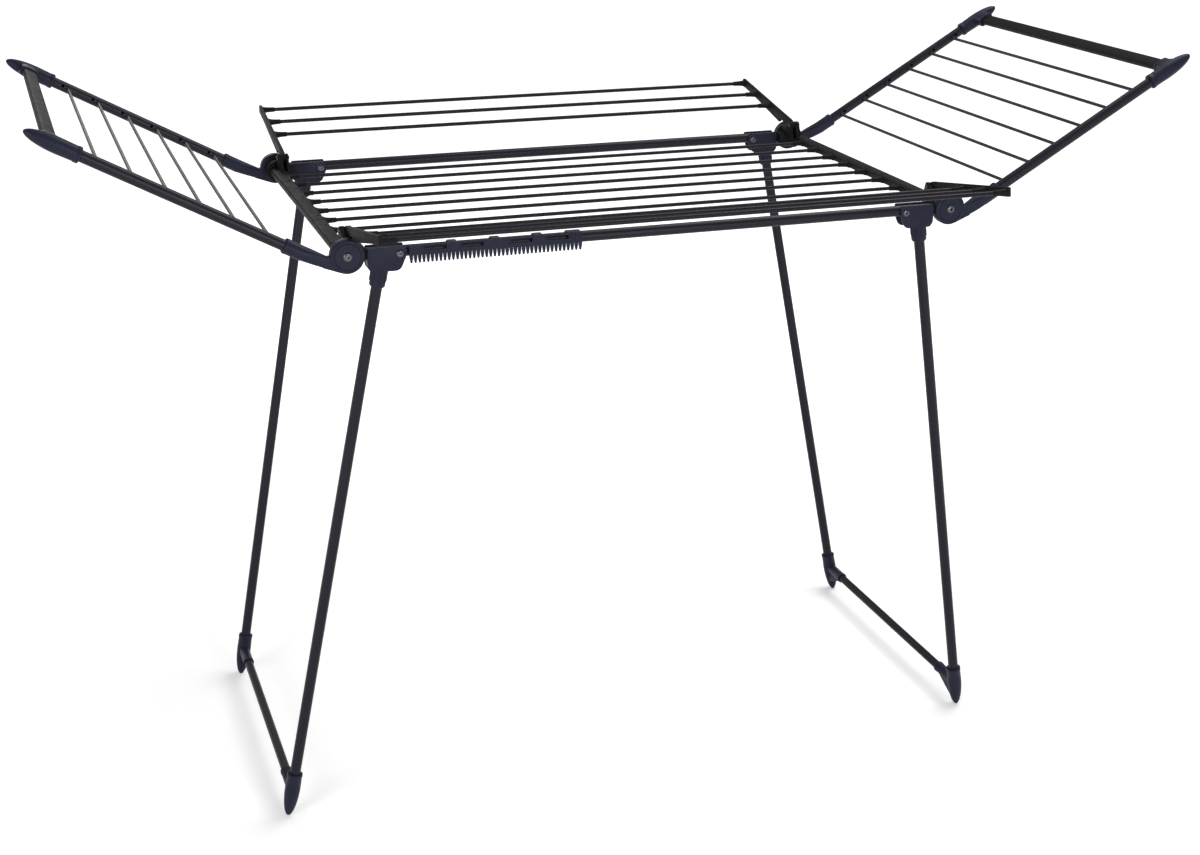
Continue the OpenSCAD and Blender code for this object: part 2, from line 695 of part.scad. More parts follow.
// The comb hangs on the front rail by its clips, outside the swing of the legs.
module sock_comb() {
    teeth = floor((comb_l - tooth_w) / comb_pitch);
    mid = comb_x0 + comb_l / 2;
    clip_w = 12;
    end_w = 20;
    color(plastic) difference() {
        union() {
            slab_y(-comb_y - comb_t, -comb_y)
                translate([comb_x0, comb_z0]) square([comb_l, comb_z1 - comb_z0]);
            for (i = [0 : teeth])
                slab_y(-comb_y - comb_t, -comb_y)
                    translate([comb_x0 + i * comb_pitch, comb_z0 - tooth_l])
                        square([tooth_w, tooth_l + 1]);
            for (side = [-1, 1])
                comb_clip(mid + side * (comb_pair_gap + comb_slot_pitch) / 2, clip_w);
            comb_clip(mid, clip_w);
            comb_clip(comb_x0 + comb_l - end_w / 2, end_w);
            comb_slots(mid, comb_y + comb_t - 1, comb_y + comb_t + comb_rim_h, comb_rim_w);
        }
        comb_slots(mid, comb_y - 1, comb_y + comb_t + 2, 0);
    }
}

// The four slots of the comb, from y0 to y1 in front of the rack and wider by grow.
module comb_slots(mid, y0, y1, grow) {
    for (side = [-1, 1], far = [0, 1])
        slab_y(-y1, -y0)
            translate([mid + side * (comb_pair_gap / 2 + far * comb_slot_pitch), comb_slot_z])
                square([comb_slot_l + 2 * grow, comb_slot_h + 2 * grow], center = true);
}

// A hook over the top of the rail, behind the comb.
module comb_clip(x, w) {
    hook_r = tube_r + 2.4;
    translate([x - w / 2, 0, 0]) slab_x(0, w) difference() {
        union() {
            translate([-rail_y, hinge_z]) circle(r = hook_r);
            translate([-comb_y - 1, hinge_z + 1]) square([comb_y - rail_y, hook_r - 1]);
        }
        translate([-rail_y, hinge_z]) circle(r = bore_r);
        translate([-rail_y - hook_r - 1, hinge_z - hook_r - 1])
            square([2 * hook_r + 2, hook_r - 3]);
    }
}

front_rail();
rear_rail();
left_crossbar();
right_crossbar();
main_rods();
front_left_corner();
front_right_corner();
rear_left_corner();
rear_right_corner();
sock_comb();
wing_pins();
leg_pins();
flap_pins();
left_wing_front_tube();
left_wing_rear_tube();
left_wing_end_bar();
left_wing_rods();
left_wing_front_cap();
left_wing_rear_cap();
left_wing_front_arm();
left_wing_rear_arm();
right_wing_front_tube();
right_wing_rear_tube();
right_wing_end_bar();
right_wing_rods();
right_wing_front_cap();
right_wing_rear_cap();
right_wing_front_arm();
right_wing_rear_arm();
front_flap_rods();
front_flap_left_arm();
front_flap_right_arm();
rear_flap_rods();
rear_flap_left_arm();
rear_flap_right_arm();
left_front_leg();
left_rear_leg();
left_foot_bar();
left_front_foot();
left_rear_foot();
left_front_bracket();
left_rear_bracket();
right_front_leg();
right_rear_leg();
right_foot_bar();
right_front_foot();
right_rear_foot();
right_front_bracket();
right_rear_bracket();
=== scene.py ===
"""Looks of a folding clothes drying rack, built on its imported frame.

The classes hold their sizes in millimetres and degrees, and each finished mesh is
written in metres in the frame's own axes: X along the rack, Y to the rear, Z up.
Every moulding is drawn once, in the right rear quarter, and mirrored to the others.
"""

import json
import logging
import math
from dataclasses import dataclass, field, replace
from enum import Enum
from functools import cache, partialmethod
from itertools import product
from typing import Iterable, Sequence

import bmesh
import bpy
from mathutils import Matrix, Vector


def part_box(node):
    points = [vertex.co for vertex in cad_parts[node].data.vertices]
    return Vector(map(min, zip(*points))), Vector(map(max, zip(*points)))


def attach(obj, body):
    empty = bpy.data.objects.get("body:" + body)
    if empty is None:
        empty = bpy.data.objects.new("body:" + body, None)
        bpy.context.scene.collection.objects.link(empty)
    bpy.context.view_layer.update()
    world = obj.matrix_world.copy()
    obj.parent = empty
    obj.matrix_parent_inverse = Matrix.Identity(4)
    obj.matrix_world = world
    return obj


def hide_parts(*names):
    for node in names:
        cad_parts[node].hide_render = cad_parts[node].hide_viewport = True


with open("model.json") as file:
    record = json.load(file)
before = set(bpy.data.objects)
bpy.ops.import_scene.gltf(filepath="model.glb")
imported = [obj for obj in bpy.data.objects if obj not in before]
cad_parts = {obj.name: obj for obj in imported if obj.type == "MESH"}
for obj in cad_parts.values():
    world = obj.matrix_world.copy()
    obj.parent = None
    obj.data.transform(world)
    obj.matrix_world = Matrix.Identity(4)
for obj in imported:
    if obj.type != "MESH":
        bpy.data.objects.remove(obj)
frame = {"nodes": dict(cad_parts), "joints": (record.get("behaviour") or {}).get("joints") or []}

MM = 0.001
ROUND_STEPS = 48
SHARP_ANGLE = math.radians(32)

# Inputs of a map range node, in the order of its ends.
RAMP = ("From Min", "From Max", "To Min", "To Max")

# Radii of the bores, each with its running fit.
FIT = 0.05
TUBE_BORE = 8.05
WING_PIN_BORE = 3.05
LEG_PIN_BORE = 2.55
FLAP_PIN_BORE = 2.05

Pair = tuple[float, float]
Triple = tuple[float, float, float]
Socket = bpy.types.NodeSocket
Tree = bpy.types.NodeTree

log = logging.getLogger("drying_rack")


class Sign(Enum):
    """A side of the rack, with its sign along an axis."""

    @property
    def word(self) -> str:
        """Name of the side as the frame's nodes spell it."""
        return self.name.lower()


class Side(Sign):
    """End of the rack, along X."""

    LEFT = -1
    RIGHT = 1


class Row(Sign):
    """Long side of the rack, along Y."""

    FRONT = -1
    REAR = 1


class Slot(Enum):
    """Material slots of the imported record."""

    TUBE = "tube"
    ROD = "rod"
    GREY = "grey_plastic"
    NAVY = "navy_plastic"
    RIVET = "rivet"


# ---- finishes


def fill(node: bpy.types.Node, values: dict[str | int, object]) -> None:
    """Fills the inputs of a shader node.

    Args:
        node: Node to fill.
        values: Constant, or socket to link, of each input.
    """
    for key, value in values.items():
        if isinstance(value, Socket):
            node.id_data.links.new(value, node.inputs[key])
        else:
            node.inputs[key].default_value = value


def add_node(
    tree: Tree, kind: str, values: dict[str | int, object], **settings: str
) -> bpy.types.Node:
    """Adds a shader node.

    Args:
        tree: Node tree to add to.
        kind: Type of the node.
        values: Constant, or socket to link, of each input.
        settings: Attributes of the node.

    Returns:
        The node.
    """
    node = tree.nodes.new(kind)
    for name, value in settings.items():
        setattr(node, name, value)
    fill(node, values)
    return node


@dataclass(frozen=True)
class Finish:
    """A surface finish: base colour, gloss and two scales of surface texture.

    Attributes:
        name: Name of the material.
        slot: Record slot that the finish belongs to. Not used.
        colour: Linear base colour.
        shade: Second colour, that the first drifts to in soft patches.
        roughness: Mean roughness.
        specular: Specular level.
        tint: Tint of the reflections.
        gloss_drift: How far the roughness wanders either way.
        metallic: Metallic weight.
        grain: Texture cells of the fine grain to the metre.
        grain_depth: Depth of the fine grain, in millimetres.
        wave_depth: Depth of the slow unevenness, in millimetres.
    """

    name: str
    slot: Slot
    colour: Triple
    shade: Triple
    roughness: float
    specular: float = 0.25
    tint: Triple = (1.0, 1.0, 1.0)
    gloss_drift: float = 0.05
    metallic: float = 0.0
    grain: float = 1500.0
    grain_depth: float = 0.02
    wave_depth: float = 0.0

    @cache
    def material(self) -> bpy.types.Material:
        """Returns the finish's material, made on first use."""
        made = bpy.data.materials.new(self.name)
        made.use_nodes = True
        tree = made.node_tree
        place = tree.nodes.new("ShaderNodeTexCoord").outputs["Object"]
        patches = {
            "Factor": self._noise(tree, place, 9.0, 4.0),
            "A": (*self.colour, 1.0),
            "B": (*self.shade, 1.0),
        }
        gloss = (0.3, 0.7, self.roughness - self.gloss_drift, self.roughness + self.gloss_drift)
        mix = add_node(tree, "ShaderNodeMix", patches, data_type="RGBA")
        spread = {"Value": self._noise(tree, place, 60.0, 3.0), **dict(zip(RAMP, gloss))}
        drift = add_node(tree, "ShaderNodeMapRange", spread)
        surface = {
            "Metallic": self.metallic,
            "Specular IOR Level": self.specular,
            "Specular Tint": (*self.tint, 1.0),
            "Base Color": mix.outputs["Result"],
            "Roughness": drift.outputs["Result"],
        }
        fill(tree.nodes["Principled BSDF"], surface | self._relief(tree, place))
        return made

    def _relief(self, tree: Tree, place: Socket) -> dict[str, Socket]:
        """Adds the grain and the slow unevenness.

        Args:
            tree: Node tree of the material.
            place: Socket of the texture coordinates.

        Returns:
            The normal that they give, as an input of the shader.
        """
        normal: dict[str, Socket] = {}
        for scale, depth in ((self.grain, self.grain_depth), (45.0, self.wave_depth)):
            if depth > 0.0:
                height = self._noise(tree, place, scale, 2.0)
                relief = {"Strength": 0.6, "Distance": depth * MM, "Height": height}
                bump = add_node(tree, "ShaderNodeBump", relief | normal)
                normal = {"Normal": bump.outputs["Normal"]}
        return normal

    @staticmethod
    def _noise(tree: Tree, place: Socket, scale: float, detail: float) -> Socket:
        """Adds a noise texture.

        Args:
            tree: Node tree of the material.
            place: Socket of the texture coordinates.
            scale: Cells to the metre.
            detail: Octaves of the noise.

        Returns:
            The socket of the noise's value.
        """
        values = {"Vector": place, "Scale": scale, "Detail": detail}
        return add_node(tree, "ShaderNodeTexNoise", values).outputs["Fac"]


POWDER_COAT = Finish(
    name="powder_coated_tube",
    slot=Slot.TUBE,
    colour=(0.013, 0.012, 0.018),
    shade=(0.016, 0.015, 0.021),
    roughness=0.34,
    specular=0.14,
    tint=(0.92, 0.88, 1.0),
    gloss_drift=0.02,
    grain=1100.0,
    grain_depth=0.01,
)
# Painted shade: a darker copy of the tube's powder coat, so that the foot bars look less lit than
# the other tubes.
FOOT_COAT_PAINTED_SHADE = replace(
    POWDER_COAT,
    name="powder_coated_foot_bar",
    colour=(0.008, 0.0075, 0.011),
    shade=(0.010, 0.0095, 0.013),
    specular=0.09,
)
ROD_COAT = replace(
    POWDER_COAT,
    name="powder_coated_rod",
    slot=Slot.ROD,
    colour=(0.010, 0.0095, 0.013),
    shade=(0.013, 0.012, 0.016),
    roughness=0.38,
    specular=0.12,
    grain=1400.0,
)
NAVY_MOULDING = Finish(
    name="navy_moulding",
    slot=Slot.NAVY,
    colour=(0.0135, 0.0150, 0.0285),
    shade=(0.0165, 0.0180, 0.0335),
    roughness=0.44,
    specular=0.12,
    tint=(0.86, 0.88, 1.0),
    grain=1900.0,
    wave_depth=0.05,
)
GREY_MOULDING = Finish(
    name="grey_moulding",
    slot=Slot.GREY,
    colour=(0.0080, 0.0080, 0.0088),
    shade=(0.0100, 0.0100, 0.0108),
    roughness=0.55,
    specular=0.06,
    grain=1700.0,
    grain_depth=0.03,
    wave_depth=0.05,
)
ZINC = Finish(
    name="dark_zinc",
    slot=Slot.RIVET,
    colour=(0.10, 0.10, 0.11),
    shade=(0.07, 0.07, 0.08),
    roughness=0.32,
    specular=0.5,
    gloss_drift=0.08,
    metallic=1.0,
    grain=900.0,
)


# ---- mesh work


def arc(centre: Pair, radius: float, start: float, end: float, steps: int) -> list[Pair]:
    """Points of an arc.

    Args:
        centre: Centre of the arc.
        radius: Radius of the arc.
        start: Angle of the first point, in degrees.
        end: Angle of the last point, in degrees.
        steps: Number of chords.

    Returns:
        The steps + 1 points, in order.
    """
    angles = (math.radians(start + (end - start) * k / steps) for k in range(steps + 1))
    return [(centre[0] + radius * math.cos(a), centre[1] + radius * math.sin(a)) for a in angles]


def round_rect(width: float, height: float, radius: float) -> list[Pair]:
    """Outline of a rectangle with rounded corners, centred on the origin.

    Args:
        width: Full width.
        height: Full height.
        radius: Corner radius.

    Returns:
        The points, counter-clockwise.
    """
    x, y, steps = width / 2 - radius, height / 2 - radius, 5
    middles = (((x, y), 0.0), ((-x, y), 90.0), ((-x, -y), 180.0), ((x, -y), 270.0))
    arcs = (arc(middle, radius, angle, angle + 90.0, steps) for middle, angle in middles)
    return [point for points in arcs for point in points]


class Solid:
    """A closed mesh that is shaped step by step, in millimetres."""

    def __init__(self) -> None:
        """Starts with an empty mesh."""
        self.bm = bmesh.new()

    @classmethod
    def turned(cls, profile: Sequence[Pair], steps: int = ROUND_STEPS) -> "Solid":
        """Spins a profile about Z.

        Args:
            profile: Radius and height of each point, from axis to axis.
            steps: Facets round the axis.

        Returns:
            The turned piece.
        """
        piece = cls()
        points = [piece.bm.verts.new((radius, 0.0, height)) for radius, height in profile]
        edges = [piece.bm.edges.new(pair) for pair in zip(points, points[1:])]
        sweep = {"cent": (0, 0, 0), "axis": (0, 0, 1), "angle": math.tau, "use_merge": True}
        bmesh.ops.spin(piece.bm, geom=[*points, *edges], steps=steps, **sweep)
        return piece.cleaned()

    @classmethod
    def rod(cls, radius: float, start: float, end: float, steps: int = ROUND_STEPS) -> "Solid":
        """Makes a plain round rod along Z.

        Args:
            radius: Radius of the rod.
            start: Height of its lower end.
            end: Height of its upper end.
            steps: Facets round the axis.

        Returns:
            The rod.
        """
        return cls.turned([(0, start), (radius, start), (radius, end), (0, end)], steps)

    @classmethod
    def slab(cls, outline: Sequence[Pair], height: float) -> "Solid":
        """Extrudes an outline of the XY plane along Z.

        Args:
            outline: Points of the outline.
            height: Height of the slab.

        Returns:
            The slab.
        """
        piece = cls()
        face = piece.bm.faces.new([piece.bm.verts.new((x, y, 0)) for x, y in outline])
        raised = bmesh.ops.extrude_face_region(piece.bm, geom=[face])["geom"]
        tops = [item for item in raised if isinstance(item, bmesh.types.BMVert)]
        bmesh.ops.translate(piece.bm, verts=tops, vec=(0, 0, height))
        return piece.cleaned()

    @classmethod
    def block(cls, low: Triple, high: Triple) -> "Solid":
        """Makes a rectangular block.

        Args:
            low: Lowest corner.
            high: Highest corner.

        Returns:
            The block.
        """
        piece = cls()
        centre = (Vector(low) + Vector(high)) / 2
        size = Vector(high) - Vector(low)
        place = at(*centre) @ Matrix.Diagonal((*size, 1.0))
        bmesh.ops.create_cube(piece.bm, size=1.0, matrix=place)
        return piece

    @classmethod
    def loft(cls, rings: Iterable[tuple[Triple, float, float, float]]) -> "Solid":
        """Bridges a row of rings that stand square to X.

        Args:
            rings: Centre, half width along Y, half height along Z and squareness of
                each ring. A squareness of 2 is an ellipse, and more is squarer.

        Returns:
            The lofted piece, with both ends closed.
        """
        piece = cls()
        loops: list[list[bmesh.types.BMEdge]] = []
        for centre, half_y, half_z, power in rings:
            made = bmesh.ops.create_circle(piece.bm, radius=1.0, segments=40)["verts"]
            for vert in made:
                y, z = vert.co.x, vert.co.y
                reach = (abs(y) ** power + abs(z) ** power) ** (-1.0 / power)
                vert.co = Vector(centre) + Vector((0.0, y * reach * half_y, z * reach * half_z))
            loops.append(list({edge for vert in made for edge in vert.link_edges}))
        for first, second in zip(loops, loops[1:]):
            bmesh.ops.bridge_loops(piece.bm, edges=first + second)
        bmesh.ops.holes_fill(piece.bm, edges=piece.bm.edges, sides=0)
        return piece.cleaned()

    def cleaned(self) -> "Solid":
        """Merges doubled points and turns every face outwards."""
        bmesh.ops.remove_doubles(self.bm, verts=self.bm.verts, dist=1e-4)
        bmesh.ops.recalc_face_normals(self.bm, faces=self.bm.faces)
        return self

    def bevelled(
        self,
        width: float,
        segments: int,
        angle: float = 35.0,
        edges: Sequence[bmesh.types.BMEdge] = (),
    ) -> "Solid":
        """Rounds the given edges, or else every edge that is sharper than an angle.

        Args:
            width: Width of the bevel.
            segments: Facets across the bevel.
            angle: Least angle between the faces of an edge that is rounded.
            edges: Edges to round, whatever their angle.

        Returns:
            This piece.
        """
        limit = math.radians(angle)
        sharp = [edge for edge in self.bm.edges if edge.calc_face_angle(0.0) > limit]
        style = {"profile": 0.5, "affect": "EDGES", "clamp_overlap": True, "material": -1}
        geometry = list(edges) or sharp
        bmesh.ops.bevel(self.bm, geom=geometry, offset=width, segments=segments, **style)
        return self

    def moved(self, matrix: Matrix) -> "Solid":
        """Transforms the piece, and keeps its faces outwards when it is mirrored.

        Args:
            matrix: Transform to apply.

        Returns:
            This piece.
        """
        bmesh.ops.transform(self.bm, matrix=matrix, verts=self.bm.verts)
        if matrix.determinant() < 0:
            bmesh.ops.reverse_faces(self.bm, faces=self.bm.faces)
        return self

    def combined(self, operation: str, *others: "Solid") -> "Solid":
        """Runs a Boolean operation with each of the other pieces in turn.

        Args:
            operation: Name of the operation.
            others: Second operand of each step. They are used up.

        Returns:
            This piece.
        """
        target = self.as_object("scratch")
        tools = [other.as_object("scratch") for other in others]
        for tool in tools:
            step = target.modifiers.new("combine", "BOOLEAN")
            step.operation = operation
            step.solver = "EXACT"
            step.object = tool
        bpy.context.view_layer.update()
        graph = bpy.context.evaluated_depsgraph_get()
        result = bpy.data.meshes.new_from_object(target.evaluated_get(graph))
        self.bm = bmesh.new()
        self.bm.from_mesh(result)
        bpy.data.meshes.remove(result)
        for used in (target, *tools):
            bpy.data.meshes.remove(used.data)
        return self

    plus = partialmethod(combined, "UNION")
    minus = partialmethod(combined, "DIFFERENCE")

    def as_object(self, name: str) -> bpy.types.Object:
        """Moves the mesh into an object of the scene.

        Args:
            name: Name of the object and of its mesh.

        Returns:
            The object.
        """
        mesh = bpy.data.meshes.new(name)
        self.bm.to_mesh(mesh)
        self.bm.free()
        made = bpy.data.objects.new(name, mesh)
        bpy.context.scene.collection.objects.link(made)
        return made

    def finished(self, name: str, finish: Finish, body: str, nodes: Sequence[str]) -> None:
        """Turns the piece into an object of the rack, placed by its mesh alone.

        Args:
            name: Name of the object.
            finish: Finish of its surface.
            body: Body that it moves with.
            nodes: Frame nodes that it stands for.
        """
        made = self.moved(Matrix.Scale(MM, 4)).as_object(name)
        mesh = made.data
        mesh.shade_smooth()
        mesh.set_sharp_from_angle(angle=SHARP_ANGLE)
        mesh.materials.append(finish.material())
        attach(made, body)
        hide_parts(*nodes)
        log.info("%s: %d faces", name, len(mesh.polygons))

    def replacing(self, node: str, finish: Finish, body: str, ending: str = "moulding") -> None:
        """Finishes the piece as the one that stands for a single frame node.

        Args:
            node: The frame node.
            finish: Finish of the surface.
            body: Body that the piece moves with.
            ending: Last word of the piece's name, after the node's.
        """
        self.finished(f"{node}_{ending}", finish, body, [node])


def turn(angle: float, axis: str) -> Matrix:
    """Turns by an angle in degrees about an axis."""
    return Matrix.Rotation(math.radians(angle), 4, axis)


# Turns of the Z axis to +X and to +Y.
ALONG_X = turn(90, "Y")
ALONG_Y = turn(-90, "X")


def at(x: float, y: float, z: float) -> Matrix:
    """Moves by a distance."""
    return Matrix.Translation((x, y, z))


def side_slab(outline: Sequence[Pair], y0: float, y1: float) -> Solid:
    """Extrudes an outline of the XZ plane along Y.

    Args:
        outline: Points of the outline, as X and Z.
        y0: Near face.
        y1: Far face.

    Returns:
        The slab.
    """
    return Solid.slab(outline, y1 - y0).moved(at(0, y1, 0) @ turn(90, "X"))


def end_slab(outline: Sequence[Pair], x0: float, x1: float) -> Solid:
    """Extrudes an outline of the YZ plane along X.

    Args:
        outline: Points of the outline, as Y and Z.
        x0: Inner face.
        x1: Outer face.

    Returns:
        The slab.
    """
    upright = turn(90, "Z") @ turn(90, "X")
    return Solid.slab(outline, x1 - x0).moved(at(x0, 0, 0) @ upright)


def quarter(side: Side, row: Row) -> Matrix:
    """Mirrors the right rear quarter to another.

    Args:
        side: End of the rack.
        row: Long side of the rack.

    Returns:
        The mirror transform.
    """
    return Matrix.Diagonal((side.value, row.value, 1.0, 1.0))


def fan_socket(rod: float, half_width: float, half_height: float, length: float) -> Solid:
    """A rod socket about X that fans out to its root, which ends at the origin.

    Args:
        rod: Radius of the rod.
        half_width: Half width of the root, along Y.
        half_height: Half height of the root, along Z.
        length: Length of the flare.

    Returns:
        The socket.
    """
    thin, steps = rod + 0.9, 9
    rings = [((-length - 0.4, 0.0, 0.0), thin - 0.4, thin - 0.4, 2.0)]
    for k in range(steps + 1):
        angle = math.pi / 2 * k / steps
        flare = 1 - math.cos(angle)
        centre = (length * (math.sin(angle) - 1), 0.0, 0.0)
        width = thin + (half_width - thin) * flare
        height = thin + (half_height - thin) * flare
        rings.append((centre, width, height, 2.0 + flare))
    rings.append(((1.0, 0.0, 0.0), half_width, half_height, 3.0))
    return Solid.loft(rings)


def rod_set(radius: float, length: float, places: Iterable[Matrix]) -> Solid:
    """Makes a set of equal rods.

    Args:
        radius: Radius of a rod, with its coat.
        length: Length of a rod.
        places: Transform of each rod, which starts at the origin and runs along Z.

    Returns:
        The rods, as one piece.
    """
    first, *others = [Solid.rod(radius, 0, length, 24).moved(place) for place in places]
    return first.plus(*others)


def dress(node: str, finish: Finish) -> None:
    """Gives a frame node that keeps its own shape a finish.

    Args:
        node: Name of the node.
        finish: Finish of its surface.
    """
    mesh = frame["nodes"][node].data
    mesh.materials.clear()
    mesh.materials.append(finish.material())
    log.info("%s keeps its shape", node)


# ---- the rack


@dataclass
class Hinges:
    """Hinge lines of the rack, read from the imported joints."""

    wing: Vector = field(init=False)
    flap: Vector = field(init=False)
    leg: Vector = field(init=False)

    def __post_init__(self) -> None:
        """Reads the hinge points of the right rear quarter, in millimetres."""
        joints = {joint["name"]: Vector(joint["pos_m"]) / MM for joint in frame["joints"]}
        self.wing = joints["right_wing_hinge"]
        self.flap = joints["rear_flap_hinge"]
        self.leg = joints["right_legs_hinge"]


@dataclass
class TopFrame:
    """Rails, flat end bars with flared rod sockets, rods and corner mouldings."""

    hinges: Hinges
    bar_width: float = 21.0
    bar_height: float = 12.0
    bar_half: float = 237.9
    bar_radius: float = 4.0
    rod_radius: float = 2.8
    rod_pitch: float = 60.3
    rod_count: int = 8
    socket_length: float = 17.0
    socket_half: float = 9.0
    tongue: Triple = (15.0, 7.0, 2.0)
    tongue_length: float = 12.0
    dimple_radius: float = 2.2
    dimple_shift: Pair = (-3.0, 11.0)
    ear_radius: float = 17.0
    plug_start: float = 430.5
    block_low: Triple = (431.5, 262.0, 877.0)
    block_high: Triple = (472.0, 284.9, 896.0)
    inner_lug: float = 4.0
    outer_lug: float = 7.4
    lug_radius: float = 6.5
    gap: float = 0.3

    def build(self) -> None:
        """Builds every piece of the top frame."""
        for row in Row:
            dress(f"{row.word}_rail", POWDER_COAT)
        low, high = (Vector(corner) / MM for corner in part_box("main_rods"))
        places = (at(low.x, y, (low.z + high.z) / 2) @ ALONG_X for y in self.rod_rows())
        rods = rod_set(self.rod_radius, high.x - low.x, places)
        rods.replacing("main_rods", ROD_COAT, "frame", "coated")
        for side in Side:
            bar = self.crossbar().moved(quarter(side, Row.REAR))
            bar.replacing(f"{side.word}_crossbar", GREY_MOULDING, "frame")
        for side, row in product(Side, Row):
            corner = self.corner().moved(quarter(side, row))
            corner.replacing(f"{row.word}_{side.word}_corner", GREY_MOULDING, "frame")

    def rod_rows(self) -> list[float]:
        """Returns the Y of every rod."""
        middle = (self.rod_count - 1) / 2
        return [(k - middle) * self.rod_pitch for k in range(self.rod_count)]

    def crossbar(self) -> Solid:
        """Builds the right end bar with its sockets."""
        low, high = (Vector(corner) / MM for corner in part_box("right_crossbar"))
        x, z = high.x - self.bar_width / 2, (low.z + high.z) / 2
        inner, half_height = x - self.bar_width / 2, self.bar_height / 2
        outline = round_rect(self.bar_width, self.bar_height, self.bar_radius)
        bar = side_slab(outline, -self.bar_half, self.bar_half).moved(at(x, 0, z))
        reach = self.bar_half + self.tongue_length
        bar.plus(side_slab(round_rect(*self.tongue), -reach, reach).moved(at(x, 0, z)))
        root = (self.socket_half, half_height - 0.4, self.socket_length)
        sockets = [
            fan_socket(self.rod_radius, *root).moved(at(inner, y, z)) for y in self.rod_rows()
        ]
        bar.plus(*sockets)
        shift_x, shift_y = self.dimple_shift
        spots = (at(x + shift_x, y + shift_y, z + half_height) for y in self.rod_rows())
        return bar.minus(*[Solid.rod(self.dimple_radius, -2, 3, 24).moved(spot) for spot in spots])

    def corner(self) -> Solid:
        """Builds the right rear corner moulding."""
        wing, flap = self.hinges.wing, self.hinges.flap
        block = Solid.block(self.block_low, self.block_high).bevelled(2.6, 4)
        near, far = self.block_low[1], self.block_high[1]
        radius, depth = self.ear_radius, far - near
        rim = [(radius, 1.2), (radius, depth - 0.8), (radius - 0.8, depth), (0, depth)]
        ear = Solid.turned([(0, 0), (radius - 1.2, 0), *rim])
        collar = Solid.turned(
            [(0, -58), (6.8, -58), (7.15, -57), (7.15, 0.0), (8.0, 0.0), (8.0, 3.2), (0, 3.2)]
        )
        sleeve = side_slab(
            round_rect(self.bar_width - 0.6, self.bar_height - 0.6, self.bar_radius),
            self.bar_half + self.gap,
            near + 2.0,
        )
        pieces = [
            ear.moved(at(wing.x, near, wing.z) @ ALONG_Y),
            collar.moved(at(self.plug_start, far + 1.1, wing.z) @ ALONG_X),
            sleeve.moved(at(wing.x + 2.0, 0, wing.z + 1.0)),
        ]
        outline = [
            *arc((flap.y, flap.z), self.lug_radius, 30.0, 180.0, 16),
            (flap.y - 13.0, wing.z + 3.0),
            (far - 1.0, wing.z),
            (far - 1.0, flap.z - 4.5),
        ]
        inner, outer = Flap.inner - self.gap, Flap.outer + self.gap
        for start, end in ((inner - self.inner_lug, inner), (outer, outer + self.outer_lug)):
            pieces.append(end_slab(outline, start, end).bevelled(0.9, 2))
        block.plus(*pieces)
        pin = Solid.rod(WING_PIN_BORE, 0, 60, 32)
        return block.minus(pin.moved(at(wing.x, near - 7.0, wing.z) @ ALONG_Y))


